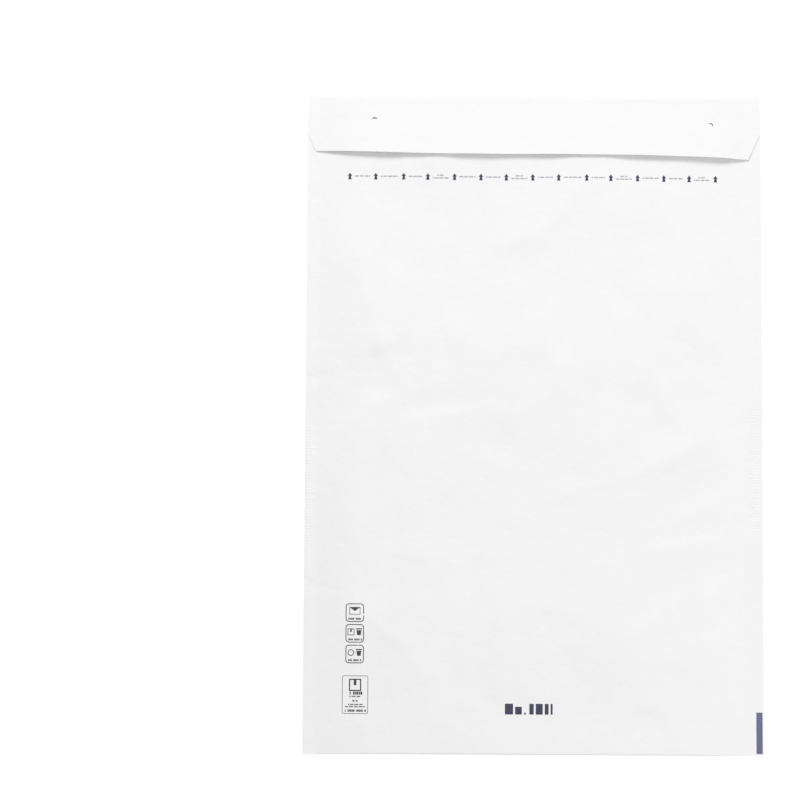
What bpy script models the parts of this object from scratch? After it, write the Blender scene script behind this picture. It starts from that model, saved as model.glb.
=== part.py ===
"""A large padded mailing envelope, lying on its plain side with its closing flap folded over its mouth.

One web of white paper makes the whole outside: it runs from the free edge of the mouth down the upper
panel, round the bottom fold, back under the lower panel, round the mouth and over it as the flap. The two
panels are welded to each other along both sides. Inside lies a lining of bubble film, folded like the
paper and open at the mouth. Under the flap is a band of adhesive, covered by a strip of release paper.

Sizes are metres. X is across the envelope, Y runs from the bottom fold to the flap, Z is up. The origin is
under the middle of the envelope, on the surface that it lies on.
"""

import math

import bmesh
import bpy

# The pocket, as it lies empty
WIDTH = 0.318  # the flat width of 320 mm, drawn in a little by the padding
POCKET_LENGTH = 0.4565  # bottom fold to mouth
PAPER = 0.0003  # the paper with the film that backs it
PAD = 0.0030  # one layer of bubble film
POCKET_GAP = 0.0008  # between the two layers of the lining
CLEARANCE = 0.0003  # between neighbouring pieces
MELTED_FILM = 0.0004  # what is left of the lining between the papers of a side seam
SEAM_LEFT = 0.009
SEAM_RIGHT = 0.013
SHOULDER = 0.029  # over this width the panels part from the seam to the full thickness
SHOULDER_SWELL = 1.35  # how quickly they part at first: 1 is a plain slope
FOLD_REACH = 0.0028  # depth of the rounded nose at the bottom fold
FOLD_SQUARENESS = 3.4  # 2 is an ellipse, and more is squarer
CORNER_SHOULDER = 0.038  # the shoulder is wider at the bottom corners
CORNER_LENGTH = 0.045  # and eases into the side over this length

# The flap
CREST_REACH = 0.0045  # how far the flap's fold stands beyond the mouth
CREST_DRAW = 0.0010  # it draws back by up to this where the envelope is thin
FLAP_RUN_LEFT = 0.0370  # mouth to free edge, on the folded-over side
FLAP_RUN_RIGHT = 0.0416
FLAP_BOW = 0.0008  # the free edge bows out on the left and in on the right
FLAP_BOW_LENGTH = 0.31
FLAP_CLEAR = 0.0007  # between the upper panel and the flap at its fold
LIFT_MIDDLE = 0.0024  # the free edge springs up by this in the middle
LIFT_CORNERS = 0.0012  # and by this at its ends
BRIDGE = 0.35  # how much of the step down to the side seams it spans
LIFT_POWER = 1.5
CHAMFER_INSET_LEFT = 0.0056  # the flap's corners are cut off
CHAMFER_INSET_RIGHT = 0.0084
CHAMFER_RUN_LEFT = 0.0132
CHAMFER_RUN_RIGHT = 0.0182
WAVE_HEIGHT = 0.0004
WAVE_PITCH = 0.059

# The half-moon cuts in the flap, where a metal clip can go through
CUT_RADIUS = 0.0020
CUT_OPEN = 0.0010
CUT_INSET_LEFT = 0.0470  # from the envelope's side
CUT_INSET_RIGHT = 0.0355
CUT_RUN_LEFT = 0.0155  # from the mouth
CUT_RUN_RIGHT = 0.0184
CUT_STEPS = 8

# The lining's own edges
LINING_INSET = 0.0030  # from the side seam
LINING_SHORT = 0.003  # from the mouth
SLIT_INSET = 0.007  # the space for the contents, from the side seam
SLIT_SQUARENESS = 2.0

# The closure strips under the flap
ADHESIVE = 0.00020
ADHESIVE_WIDTH = 0.010
ADHESIVE_ENDS = 0.014  # from the envelope's sides
RELEASE = 0.00015
RELEASE_WIDTH = 0.015
RELEASE_ENDS = 0.010
RELEASE_MARGIN = 0.003  # from the flap's free edge

# How finely the curves are divided
MIDDLE_COLUMNS = 28
SHOULDER_SHARES = (0.0, 0.16, 0.34, 0.56, 0.78)
CORNER_SHARES = (0.2, 0.45, 0.75, 1.0)
BODY_ROWS = 4
NOSE_STEPS = 5
CREST_STEPS = 8
FLAP_STEPS = 8

SEAM_THICKNESS = 2 * PAPER + MELTED_FILM
BODY_THICKNESS = 2 * (PAPER + CLEARANCE + PAD) + POCKET_GAP
MIDDLE_Z = BODY_THICKNESS / 2
FOLD_Y = -(POCKET_LENGTH + CREST_REACH) / 2
MOUTH_Y = FOLD_Y + POCKET_LENGTH
SEAM_LINE_LEFT = -WIDTH / 2 + SEAM_LEFT
SEAM_LINE_RIGHT = WIDTH / 2 - SEAM_RIGHT


def eased(share):
    """Goes from 0 to 1 with no slope at either end."""
    share = min(1.0, max(0.0, share))
    return share * share * (3 - 2 * share)


def superellipse(angle, squareness):
    """How far along and how high a rounded nose is, as shares of its depth and half height."""
    power = 2 / squareness
    return 1 - max(0.0, math.cos(angle)) ** power, math.sin(angle) ** power


def half_thickness(x, y):
    """Half the envelope's thickness: thin at the side seams and full over the padding."""
    from_seam = min(x - SEAM_LINE_LEFT, SEAM_LINE_RIGHT - x)
    corner = 1 - eased((y - FOLD_Y) / CORNER_LENGTH)
    shoulder = SHOULDER + (CORNER_SHOULDER - SHOULDER) * corner
    share = min(1.0, max(0.0, from_seam / shoulder))
    swell = 1 - (1 - share) ** SHOULDER_SWELL
    return (SEAM_THICKNESS + (BODY_THICKNESS - SEAM_THICKNESS) * swell) / 2


def columns(inset):
    """Places across the pocket, close together on the shoulders, from one side seam to the other."""
    shoulder = [inset + (SHOULDER - inset) * share for share in SHOULDER_SHARES]
    first, last = SEAM_LINE_LEFT + SHOULDER, SEAM_LINE_RIGHT - SHOULDER
    step = (last - first) / MIDDLE_COLUMNS
    return (
        [SEAM_LINE_LEFT + d for d in shoulder]
        + [first + step * i for i in range(MIDDLE_COLUMNS + 1)]
        + [SEAM_LINE_RIGHT - d for d in reversed(shoulder)]
    )


def body_rows(start, mouth):
    """Places along the pocket, close together where the bottom corners ease into the sides."""
    corner_rows = [start + (CORNER_LENGTH - FOLD_REACH) * share for share in CORNER_SHARES]
    step = (mouth - corner_rows[-1]) / BODY_ROWS
    return corner_rows + [corner_rows[-1] + step * i for i in range(1, BODY_ROWS + 1)]


def panel_path(x, inset, mouth):
    """The section of a skin that lies inset below the outside, from the fold's tip up to the mouth."""
    reach = FOLD_REACH * half_thickness(x, FOLD_Y) / MIDDLE_Z - inset
    path = []
    for step in range(NOSE_STEPS + 1):
        along, up = superellipse(math.pi / 2 * step / NOSE_STEPS, FOLD_SQUARENESS)
        y = FOLD_Y + inset + reach * along
        path.append((y, (half_thickness(x, y) - inset) * up))
    for y in body_rows(FOLD_Y + FOLD_REACH, mouth):
        path.append((y, half_thickness(x, y) - inset))
    return path


def slit_path(mouth):
    """The section of the space for the contents, a thin slit between the two layers of film."""
    half = POCKET_GAP / 2
    tip = FOLD_Y + FOLD_REACH + PAD
    path = []
    for step in range(NOSE_STEPS + 1):
        along, up = superellipse(math.pi / 2 * step / NOSE_STEPS, SLIT_SQUARENESS)
        path.append((tip + half * along, half * up))
    for y in body_rows(FOLD_Y + FOLD_REACH, mouth)[1:]:
        path.append((y, half))
    return path


def skin(bm, places, path_at):
    """Vertices of a folded skin: for each place across, from the upper panel's mouth round to the lower's."""
    grid = []
    for x in places:
        path = path_at(x)
        upper = [(y, MIDDLE_Z + z) for y, z in reversed(path)]
        lower = [(y, MIDDLE_Z - z) for y, z in path[1:]]
        grid.append([bm.verts.new((x, y, z)) for y, z in upper + lower])
    return grid


def sheet(bm, grid):
    """Faces between neighbouring lines of vertices."""
    for line, following in zip(grid, grid[1:]):
        strip(bm, line, following)


def strip(bm, line, following):
    """Faces between two lines of vertices."""
    for i in range(len(line) - 1):
        bm.faces.new((line[i], line[i + 1], following[i + 1], following[i]))


def side_wall(bm, line, extra=()):
    """Closes the side of a folded skin between its upper and lower halves. Any extra vertices lie on its mouth."""
    last = len(line) - 1
    bm.faces.new((line[0], line[1], line[last - 1], line[last], *extra))
    for i in range(1, last // 2 - 1):
        bm.faces.new((line[i], line[i + 1], line[last - i - 1], line[last - i]))
    tip = last // 2
    bm.faces.new((line[tip - 1], line[tip], line[tip + 1]))


def solid(bm, name, look):
    """Turns a closed set of faces into an object with its own material."""
    bmesh.ops.recalc_face_normals(bm, faces=bm.faces)
    mesh = bpy.data.meshes.new(name)
    bm.to_mesh(mesh)
    bm.free()
    mesh.shade_smooth()
    mesh.set_sharp_from_angle(angle=math.radians(40))
    mesh.materials.append(look)
    obj = bpy.data.objects.new(name, mesh)
    bpy.context.scene.collection.objects.link(obj)
    return obj


def material(name, colour, roughness, alpha=1.0):
    look = bpy.data.materials.new(name)
    look.use_nodes = True
    shader = look.node_tree.nodes["Principled BSDF"]
    shader.inputs["Base Color"].default_value = (*colour, 1.0)
    shader.inputs["Roughness"].default_value = roughness
    shader.inputs["Metallic"].default_value = 0.0
    shader.inputs["Alpha"].default_value = alpha
    return look


def flap_run(x):
    """Mouth to free edge. The fold is a little askew, so the flap is longer on the right."""
    share = x / WIDTH + 0.5
    bow = FLAP_BOW * math.sin(2 * math.pi * x / FLAP_BOW_LENGTH)
    return FLAP_RUN_LEFT + (FLAP_RUN_RIGHT - FLAP_RUN_LEFT) * share - bow


def flap_lift(x):
    """How far the free edge stands up from where it would lie flat."""
    towards_end = abs(2 * x / WIDTH) ** 4
    wave = WAVE_HEIGHT * math.sin(2 * math.pi * x / WAVE_PITCH)
    return LIFT_MIDDLE + (LIFT_CORNERS - LIFT_MIDDLE) * towards_end + wave


def flap_height(x, run, depth):
    """Height of the folded-over flap, at a depth below its outer face."""
    share = run / flap_run(x)
    under = half_thickness(x, MOUTH_Y)
    under += (MIDDLE_Z - under) * share * BRIDGE
    lift = flap_lift(x) * share**LIFT_POWER
    return MIDDLE_Z + under + FLAP_CLEAR + PAPER + lift - depth


def crest_point(x, angle, depth):
    """A point on the flap's fold, which wraps the mouth in half an ellipse from below to above."""
    bottom = MIDDLE_Z - half_thickness(x, MOUTH_Y)
    half = (flap_height(x, 0, 0) - bottom) / 2
    full_half = (BODY_THICKNESS + FLAP_CLEAR + PAPER) / 2
    reach = CREST_REACH - CREST_DRAW * (1 - half / full_half)
    y = MOUTH_Y + (reach - depth) * math.sin(angle)
    return x, y, bottom + half - (half - depth) * math.cos(angle)


def chamfered(x, run):
    """The place across after the flap's corners are cut off: its columns draw together there."""
    left = x < 0
    length = CHAMFER_RUN_LEFT if left else CHAMFER_RUN_RIGHT
    inset = CHAMFER_INSET_LEFT if left else CHAMFER_INSET_RIGHT
    beyond = max(0.0, run - (flap_run(x) - length))
    return x * (1 - inset * beyond / length / (WIDTH / 2))


def flap_rows(bm, places, depth):
    """Lines of vertices along the flap, from just past the mouth over its fold to its free edge."""
    rows = []
    for step in range(1, CREST_STEPS + 1):
        angle = math.pi * step / CREST_STEPS
        rows.append([bm.verts.new(crest_point(x, angle, depth)) for x in places])
    for step in range(1, FLAP_STEPS + 1):
        row = []
        for x in places:
            run = flap_run(x) * step / FLAP_STEPS
            across = chamfered(x, run)
            row.append(bm.verts.new((across, MOUTH_Y - run, flap_height(across, run, depth))))
        rows.append(row)
    return rows


def paper_shell(look):
    """The whole paper web: two panels, bottom fold, side seams and flap, in one piece."""
    bm = bmesh.new()
    inner_places = columns(0)
    outer_places = [-WIDTH / 2, *inner_places, WIDTH / 2]
    outer = skin(bm, outer_places, lambda x: panel_path(x, 0, MOUTH_Y))
    inner = skin(bm, inner_places, lambda x: panel_path(x, PAPER, MOUTH_Y))
    sheet(bm, outer)
    sheet(bm, inner)
    side_wall(bm, inner[0])
    side_wall(bm, inner[-1])

    seam_back = MIDDLE_Z - SEAM_THICKNESS / 2 + PAPER
    ends = [bm.verts.new((x, MOUTH_Y, seam_back)) for x in (-WIDTH / 2, WIDTH / 2)]
    for side, neighbour, end in ((0, 1, ends[0]), (-1, -2, ends[1])):
        edge, lining_side = outer[side], inner[side]
        side_wall(bm, edge, (end,))
        bm.faces.new((edge[0], outer[neighbour][0], lining_side[0], lining_side[-1], end))
    strip(bm, [line[0] for line in outer[1:-1]], [line[0] for line in inner])

    flap_outer = [[line[-1] for line in outer], *flap_rows(bm, outer_places, 0)]
    inner_start = [ends[0], *[line[-1] for line in inner], ends[1]]
    flap_inner = [inner_start, *flap_rows(bm, outer_places, PAPER)]
    sheet(bm, flap_outer)
    sheet(bm, flap_inner)
    for side in (0, -1):
        strip(bm, [row[side] for row in flap_outer], [row[side] for row in flap_inner])
    strip(bm, flap_outer[-1], flap_inner[-1])
    return solid(bm, "paper_shell", look)


def half_moon_cutter(name, x, run):
    """A prism between two arcs that share their ends, standing through the flap only."""
    y = MOUTH_Y - run
    outer_arc, inner_arc = [], []
    for step in range(CUT_STEPS + 1):
        angle = math.pi * step / CUT_STEPS
        across = x + CUT_RADIUS * math.cos(angle)
        outer_arc.append((across, y + CUT_RADIUS * math.sin(angle)))
        inner_arc.append((across, y + (CUT_RADIUS - CUT_OPEN) * math.sin(angle)))
    outline = outer_arc + inner_arc[-2:0:-1]
    low = flap_height(x, run, PAPER + FLAP_CLEAR / 2)
    high = flap_height(x, run, 0) + CUT_RADIUS
    bm = bmesh.new()
    face = bm.faces.new([bm.verts.new((px, py, low)) for px, py in outline])
    grown = bmesh.ops.extrude_face_region(bm, geom=[face])["geom"]
    top = [v for v in grown if isinstance(v, bmesh.types.BMVert)]
    bmesh.ops.translate(bm, verts=top, vec=(0, 0, high - low))
    cutter = solid(bm, name, material(name, (0.5, 0.5, 0.5), 0.5))
    cutter.hide_render = True
    cutter.display_type = "WIRE"
    return cutter


def cut(obj, cutter):
    boolean = obj.modifiers.new(cutter.name, "BOOLEAN")
    boolean.operation = "DIFFERENCE"
    boolean.solver = "EXACT"
    boolean.object = cutter


def bubble_lining(look):
    """Both layers of bubble film, one piece folded at the bottom and closed at the sides, open at the mouth."""
    bm = bmesh.new()
    mouth = MOUTH_Y - LINING_SHORT
    inset = PAPER + CLEARANCE
    outer = skin(bm, columns(LINING_INSET), lambda x: panel_path(x, inset, mouth))
    inner = skin(bm, columns(SLIT_INSET), lambda x: slit_path(mouth))
    for grid in (outer, inner):
        sheet(bm, grid)
        side_wall(bm, grid[0])
        side_wall(bm, grid[-1])
    for end in (0, -1):
        strip(bm, [line[end] for line in outer], [line[end] for line in inner])
    for side in (0, -1):
        bm.faces.new((outer[side][0], inner[side][0], inner[side][-1], outer[side][-1]))
    return solid(bm, "bubble_lining", look)


def closure_strip(name, look, ends, from_edge, width, depth, thickness):
    """A thin strip that follows the flap's inner face, parallel to its free edge."""
    bm = bmesh.new()
    length = WIDTH - 2 * ends
    places = [length * (i / MIDDLE_COLUMNS - 0.5) for i in range(MIDDLE_COLUMNS + 1)]
    layers = []
    for below in (depth, depth + thickness):
        rows = []
        for edge_distance in (from_edge, from_edge + width / 2, from_edge + width):
            row = []
            for x in places:
                run = flap_run(x) - edge_distance
                row.append(bm.verts.new((x, MOUTH_Y - run, flap_height(x, run, below))))
            rows.append(row)
        layers.append(rows)
    top, bottom = layers
    for rows in layers:
        sheet(bm, rows)
    for end in (0, -1):
        strip(bm, top[end], bottom[end])
        strip(bm, [row[end] for row in top], [row[end] for row in bottom])
    return solid(bm, name, look)


def clear_scene():
    for obj in list(bpy.data.objects):
        bpy.data.objects.remove(obj, do_unlink=True)


def build():
    clear_scene()
    shell = paper_shell(material("white_paper", (0.90, 0.90, 0.90), 0.72))
    cut(shell, half_moon_cutter("left_cutter", CUT_INSET_LEFT - WIDTH / 2, CUT_RUN_LEFT))
    cut(shell, half_moon_cutter("right_cutter", WIDTH / 2 - CUT_INSET_RIGHT, CUT_RUN_RIGHT))
    bubble_lining(material("bubble_film", (0.80, 0.82, 0.83), 0.30, alpha=0.6))
    adhesive_depth = PAPER + CLEARANCE
    adhesive_margin = RELEASE_MARGIN + (RELEASE_WIDTH - ADHESIVE_WIDTH) / 2
    closure_strip(
        "adhesive_band",
        material("adhesive", (0.82, 0.76, 0.58), 0.35),
        ADHESIVE_ENDS,
        adhesive_margin,
        ADHESIVE_WIDTH,
        adhesive_depth,
        ADHESIVE,
    )
    closure_strip(
        "release_strip",
        material("release_paper", (0.86, 0.84, 0.76), 0.40),
        RELEASE_ENDS,
        RELEASE_MARGIN,
        RELEASE_WIDTH,
        adhesive_depth + ADHESIVE + CLEARANCE,
        RELEASE,
    )


build()
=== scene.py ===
"""The finished look of a large padded mailing envelope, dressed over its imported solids.

The paper web is modelled again at a fine pitch, with the soft waves of a padded pocket. Bubble film
lies inside it, and the closure strips lie under its flap. Ribs are pressed into the side seams, and
the print lies on the upper panel. Sizes are metres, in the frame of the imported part.
"""

import math
import random

import bmesh
import bpy
from mathutils import Matrix, Vector, noise
from mathutils.bvhtree import BVHTree


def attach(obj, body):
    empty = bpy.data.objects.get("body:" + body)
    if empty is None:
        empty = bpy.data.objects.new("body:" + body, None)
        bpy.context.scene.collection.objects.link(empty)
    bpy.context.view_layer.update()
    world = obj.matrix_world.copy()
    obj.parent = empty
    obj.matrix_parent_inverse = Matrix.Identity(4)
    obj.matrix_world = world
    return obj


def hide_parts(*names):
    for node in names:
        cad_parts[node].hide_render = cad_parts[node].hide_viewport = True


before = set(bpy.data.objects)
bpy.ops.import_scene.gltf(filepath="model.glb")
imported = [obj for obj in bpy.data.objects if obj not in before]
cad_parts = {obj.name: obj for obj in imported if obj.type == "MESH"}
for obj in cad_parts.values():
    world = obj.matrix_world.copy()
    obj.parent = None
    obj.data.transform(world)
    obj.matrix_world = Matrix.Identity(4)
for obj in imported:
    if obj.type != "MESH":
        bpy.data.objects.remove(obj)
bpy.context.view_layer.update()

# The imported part's own sizes
WIDTH = 0.318
POCKET_LENGTH = 0.4565
SEAM_LEFT = 0.009
SEAM_RIGHT = 0.013
SHOULDER = 0.029
SHOULDER_SWELL = 1.35
CORNER_SHOULDER = 0.038
CORNER_LENGTH = 0.045
CREST_REACH = 0.0045
CREST_DRAW = 0.0010
FLAP_RUN_LEFT = 0.0370
FLAP_RUN_RIGHT = 0.0416
FLAP_BOW = 0.0008
FLAP_BOW_LENGTH = 0.31
FLAP_CLEAR = 0.0007
LIFT_MIDDLE = 0.0024
LIFT_CORNERS = 0.0012
BRIDGE = 0.35
LIFT_POWER = 1.5
CHAMFER_INSET_LEFT = 0.0056
CHAMFER_INSET_RIGHT = 0.0084
CHAMFER_RUN_LEFT = 0.0132
CHAMFER_RUN_RIGHT = 0.0182
WAVE_HEIGHT = 0.0004
WAVE_PITCH = 0.059
FLAP_WALL = 0.0003
CUT_RADIUS = 0.0020
SLIT = 0.0008
LINING_INSET = 0.0030
LINING_SHORT = 0.003
BODY_THICKNESS = 0.0078
SEAM_THICKNESS = 0.0010

MIDDLE_Z = BODY_THICKNESS / 2
FOLD_Y = -(POCKET_LENGTH + CREST_REACH) / 2
MOUTH_Y = FOLD_Y + POCKET_LENGTH
SEAM_LINE_LEFT = -WIDTH / 2 + SEAM_LEFT
SEAM_LINE_RIGHT = WIDTH / 2 - SEAM_RIGHT

# The finer forms that only the finished surface has
PAPER = 0.00018
FOLD_REACH = 0.0024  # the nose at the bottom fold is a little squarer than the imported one
FOLD_SQUARENESS = 4.6  # 2 is an ellipse, and more is squarer
SETTLE_FROM = 0.126  # beyond this from the middle, the flap settles onto the side seams
SETTLE_OVER = 0.032
SETTLED_CLEAR = 0.0002  # under the flap there, instead of FLAP_CLEAR
CUT_LEFT = (-0.1120, 0.0155, 0, 0.0010)  # x, run from the mouth, turn in degrees, opening
CUT_RIGHT = (0.1235, 0.0184, -35, 0.0008)

# How finely the sheets are divided
ROW_PITCH = 0.003
UNDER_PITCH = 0.006
NOSE_STEPS = 14
CREST_STEPS = 14
FLAP_STEPS = 28
CUT_STEPS = 12
STRIP_STEPS = 5

# The waves in the paper, each with a height, a length and a seed
BROAD_WAVE = (0.0022, 0.095, 3.1)
SOFT_WAVE = (0.0009, 0.042, 7.7)
FINE_WAVE = (0.0004, 0.017, 5.2)
CREASES = (0.0008, 0.075, 11.4)
CREASE_SHARPNESS = 5
UNDER_WAVE = (0.0009, 0.042, 21.3)
SEAM_SWAY = (0.0009, 0.118, 2.6)
UPPER_FADE = (0.030, 0.035, 0.045)  # the waves die away this near the seams, the fold and the mouth
UNDER_FADE = (0.040, 0.050, 0.050)
SWAY_FADE = 0.030  # from the fold and from the mouth
DENTS = (  # x, y, length, width, turn in degrees, and depth, less than nothing for a swelling
    (0.119, -0.049, 0.050, 0.015, 30, 0.0026),
    (0.104, -0.022, 0.046, 0.016, 36, -0.0014),
    (0.108, -0.078, 0.060, 0.015, 6, 0.0014),
    (-0.113, 0.023, 0.040, 0.024, 8, 0.0017),
    (-0.113, 0.050, 0.034, 0.020, 8, -0.0005),
    (-0.094, 0.046, 0.036, 0.012, 52, 0.0008),
    (-0.064, 0.010, 0.050, 0.014, 10, 0.0011),
    (-0.020, -0.022, 0.050, 0.018, -20, 0.0009),
    (0.030, 0.060, 0.060, 0.020, 40, 0.0007),
    (-0.090, 0.150, 0.050, 0.024, -30, 0.0007),
    (0.036, -0.120, 0.050, 0.016, 60, 0.0007),
    (0.092, -0.122, 0.070, 0.018, 34, 0.0010),
)
PINCHES = (  # the same, for small folds that run in from a side seam
    (-0.151, 0.029, 0.020, 0.005, 4, 0.0006),
    (-0.148, -0.116, 0.020, 0.006, -12, 0.0005),
    (0.150, -0.003, 0.020, 0.006, 8, 0.0006),
    (0.147, -0.060, 0.016, 0.006, -20, 0.0004),
)
DENT_SLANT = 1.5  # a dent's upper side is this much wider, and its lower side narrower
DENT_FALL = 4  # how quickly a dent fades out
SINKS_TO = 0.0015  # the padding keeps the paper from sinking further

# The ribs pressed into the side seams
RIB_PITCH = 0.00207
RIB_WIDTH = 0.0013
RIB_HEIGHT = 0.00030
RIB_LENGTH = 0.0072
RIB_ENDS = 0.004  # from the fold and from the mouth
RIB_MARGINS = {-1: 0.0004, 1: 0.0026}  # from the paper's edge, on the left and on the right
RIB_BOLD_Y = -0.042  # they are pressed deepest here
RIB_BOLD_LENGTH = 0.045
RIB_FAINT = 0.12  # their height elsewhere, as a share
RIB_SHORTEST = 0.35  # a short rib's length, as a share
RIB_LOWEST = 0.3  # a faint rib's height beside its neighbours', as a share
RIB_TILT_REACH = 0.002  # a rib tilts as the seam does over this much each way
RIB_SEED = 4

# The bubble film
FILM = 0.00012
FILM_INSET = 0.0035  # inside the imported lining's own sides, where the paper is pinched
FILM_TURN = 0.002  # it turns back this far inside the nose of the bottom fold
FILM_TURN_STEPS = 8
BUBBLE_PITCH = 0.0112
BUBBLE_WIDTH = 0.0100
BUBBLE_HEIGHT = 0.0016
BUBBLE_SIDES = 8
BUBBLE_ROOT = 0.9  # a bubble starts at this share of the film's thickness
BUBBLE_SPREAD = 0.008  # the rows are this much longer than the flat between the shoulders

# The closure strips under the flap
ADHESIVE = 0.00020
ADHESIVE_WIDTH = 0.010
ADHESIVE_ENDS = 0.014
RELEASE = 0.00015
RELEASE_WIDTH = 0.015
RELEASE_ENDS = 0.010
RELEASE_MARGIN = 0.003
STRIP_GAP = 0.00006

# The print
INK_LIFT = 0.00004
INK_GRID = 0.003  # print is cut up this finely, so that it follows the paper
ABOVE_ALL = 0.05  # print is laid down from this height
MITRE_LIMIT = 0.4
ARROW_OUTLINE = (
    (-0.5, 0.02),
    (0.0, 0.5),
    (0.5, 0.02),
    (0.22, 0.02),
    (0.36, -0.5),
    (-0.36, -0.5),
    (-0.22, 0.02),
)
ARROW_HEIGHT = 0.0047
ARROW_WIDTH = 0.0033
ARROWS = 15
ARROW_ROW_LEFT = (-0.1290, 0.1711)  # x and y of the first arrow
ARROW_ROW_SLANT = math.radians(0.19)
LEGEND_LEAD = 0.0035  # from an arrow's middle to the words after it
LEGEND_TRAIL = 0.0041  # and from the words to the next arrow's middle
LEGENDS = (  # length, and how many lines
    (0.0105, 1),
    (0.0120, 1),
    (0.0093, 1),
    (0.0111, 2),
    (0.0109, 1),
    (0.0102, 1),
    (0.0109, 2),
)
LEGEND_LETTER = 0.00092
LEGEND_LINES = 0.0019  # from one line to the next
LEGEND_INDENT = 0.28  # the first of two lines is this much shorter at each end, as a share
LEGEND_SHIFT = 3  # each legend starts this many blocks further on in the rhythm
RHYTHM = (0.8, 0.62, 0.9, 0.7, 1.0, 0.75, 0.55, 0.85)  # widths of the blocks that stand for letters
LETTER_WIDTH = 0.62  # a block's width beside its height, where the rhythm is 1
LETTER_PITCH = 1.28  # from one block to the next, beside its width
WORD_LETTERS = 6  # the last of so many blocks is left out, as a space

# The small marks. Pictures and words are placed about a mark's middle
MARK_LEFT = -0.1294
MARK_TOPS = (-0.1276, -0.1418, -0.1560)
MARK_SIZE = 0.0121
MARK_CORNER = 0.0020
MARK_LINE = 0.00058
MARK_WORDS = (-0.0042, 0.0088, 0.0013)  # y, length and height
LONE_PICTURE = (0.0, 0.0013)
LEFT_PICTURE = (-0.0026, 0.0010)
RIGHT_PICTURE = (0.0029, 0.0012)
ENVELOPE_SIZE = (0.0072, 0.0048)
ENVELOPE_FLAP = 0.1  # its tip's drop below the middle, as a share of half the height
ENVELOPE_LINE = 0.0004
BIN_BODY = ((-0.0012, -0.0024), (0.0012, -0.0024), (0.0017, 0.0010), (-0.0017, 0.0010))
BIN_LID = (0.0019, 0.0042, 0.0008)  # y, width and height
PARCEL_SIZE = 0.0042
PARCEL_LINE = 0.11  # as a share of its size
PARCEL_TAPE = (0.225, 0.24, 0.5)  # y, width and height, as shares
RING_RADIUS = 0.0020
RING_LINE = 0.00055
PANEL_MARK = (-0.1317, -0.1770, 0.0176, 0.0258)  # left, top, width and height
PANEL_LINE = 0.00035
PANEL_CORNER = 0.0010
PANEL_PARCEL = (0.0062, 0.0076)  # drop from the top, and size
PANEL_WORDS = (  # drop from the top, length and height
    (0.0118, 0.0074, 0.0021),
    (0.0141, 0.0078, 0.0009),
    (0.0171, 0.0036, 0.0012),
    (0.0196, 0.0096, 0.0009),
    (0.0211, 0.0136, 0.0009),
    (0.0238, 0.0138, 0.0016),
)
PANEL_SHIFT = 10000  # lines at other heights start elsewhere in the rhythm
SIZE_MARK = (-0.0197, -0.2028)  # left and foot
SIZE_HEIGHT = 0.0074
SIZE_CORNER = 0.0004
SIZE_BLOCKS = (  # from the left, width, and height as a share
    (0.0000, 0.0056, 1.0),
    (0.0070, 0.0046, 0.72),
    (0.0132, 0.0013, 0.18),
    (0.0168, 0.0030, 1.0),
    (0.0212, 0.0048, 1.0),
    (0.0274, 0.0026, 1.0),
    (0.0314, 0.0014, 1.0),
)
EDGE_BAR = (0.1537, 0.1580, -0.2291, -0.2008)  # left, right, bottom and top

# The paper's and the inks' finish
CLOUDS = (64, 4, 0.6)  # a texture: lumps to the metre, detail and roughness
FIBRES = (1500, 5, 0.65)
GRAIN = (5200, 3, 0.6)
COCKLES = (150, 3, 0.5)
PAPER_DULL = (0.908, 0.908, 0.908)
PAPER_BRIGHT = (0.924, 0.924, 0.924)
PAPER_FLECK = (0.94, 0.94, 0.94)
PAPER_FLECKS = (0, 0.6, 0.35, 0.75)  # from few to many, over this range of the fibres
PAPER_ROUGHNESS = (0.76, 0.88)
PAPER_SHEEN = 0.14
BUBBLES_BEHIND = {"Scale": 92.0, "Randomness": 0.35, "Smoothness": 0.6}
BUBBLE_BUMP = (0.00012, 0.35)  # depth and strength
COCKLE_BUMP = (0.0007, 0.5)
FIBRE_BUMP = (0.00005, 0.25)
GRAIN_BUMP = (0.00002, 0.25)
INKS = {  # colour, and how well it covers the fibres
    "navy_ink": ((0.024, 0.021, 0.058), 0.94),
    "black_ink": ((0.020, 0.020, 0.022), 0.94),
    "faint_ink": ((0.30, 0.295, 0.34), 0.60),
    "edge_ink": ((0.115, 0.11, 0.235), 0.90),
}
INK_THIN = (0.62, 0.62, 0.66)  # its colour where the paper shows through
INK_WEAR = (0.62, 0.40)  # the fibres that it is worn from, down to those that it covers
INK_ROUGHNESS = (0.42, 0.58)
INK_BUMP = (0.00006, 0.3)

# The studio
LENS = 100
SENSOR = 36
CAMERA_DISTANCE = 1.5527
CAMERA_AIM = (-0.0924, 0.0143)
CAMERA_TILT = math.radians(4.4)
CAMERA_ROLL = math.radians(0.32)
LAMPS = {  # place, size and watts
    "key": ((-0.42, 1.64, 1.4), 0.72, 24.8),
    "fill": ((1.05, -0.85, 0.95), 0.9, 7.9),
}
SKY_GLOW = 0.51
FLOOR_SHADE = 0.9
FLOOR_ROUGHNESS = 0.9
FLOOR_GLOW = (0.40, 1.0)  # seen by the camera, near the envelope and far from it
FLOOR_GLOW_FROM = 0.5
FLOOR_GLOW_TO = 3.0
FLOOR_HALF = 6
FLOOR_DROP = 0.0003


def eased(share):
    """Goes from 0 to 1 with no slope at either end."""
    share = min(1.0, max(0.0, share))
    return share * share * (3 - 2 * share)


def from_seam(x):
    """Distance inwards from the nearer side seam."""
    return min(x - SEAM_LINE_LEFT, SEAM_LINE_RIGHT - x)


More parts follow.
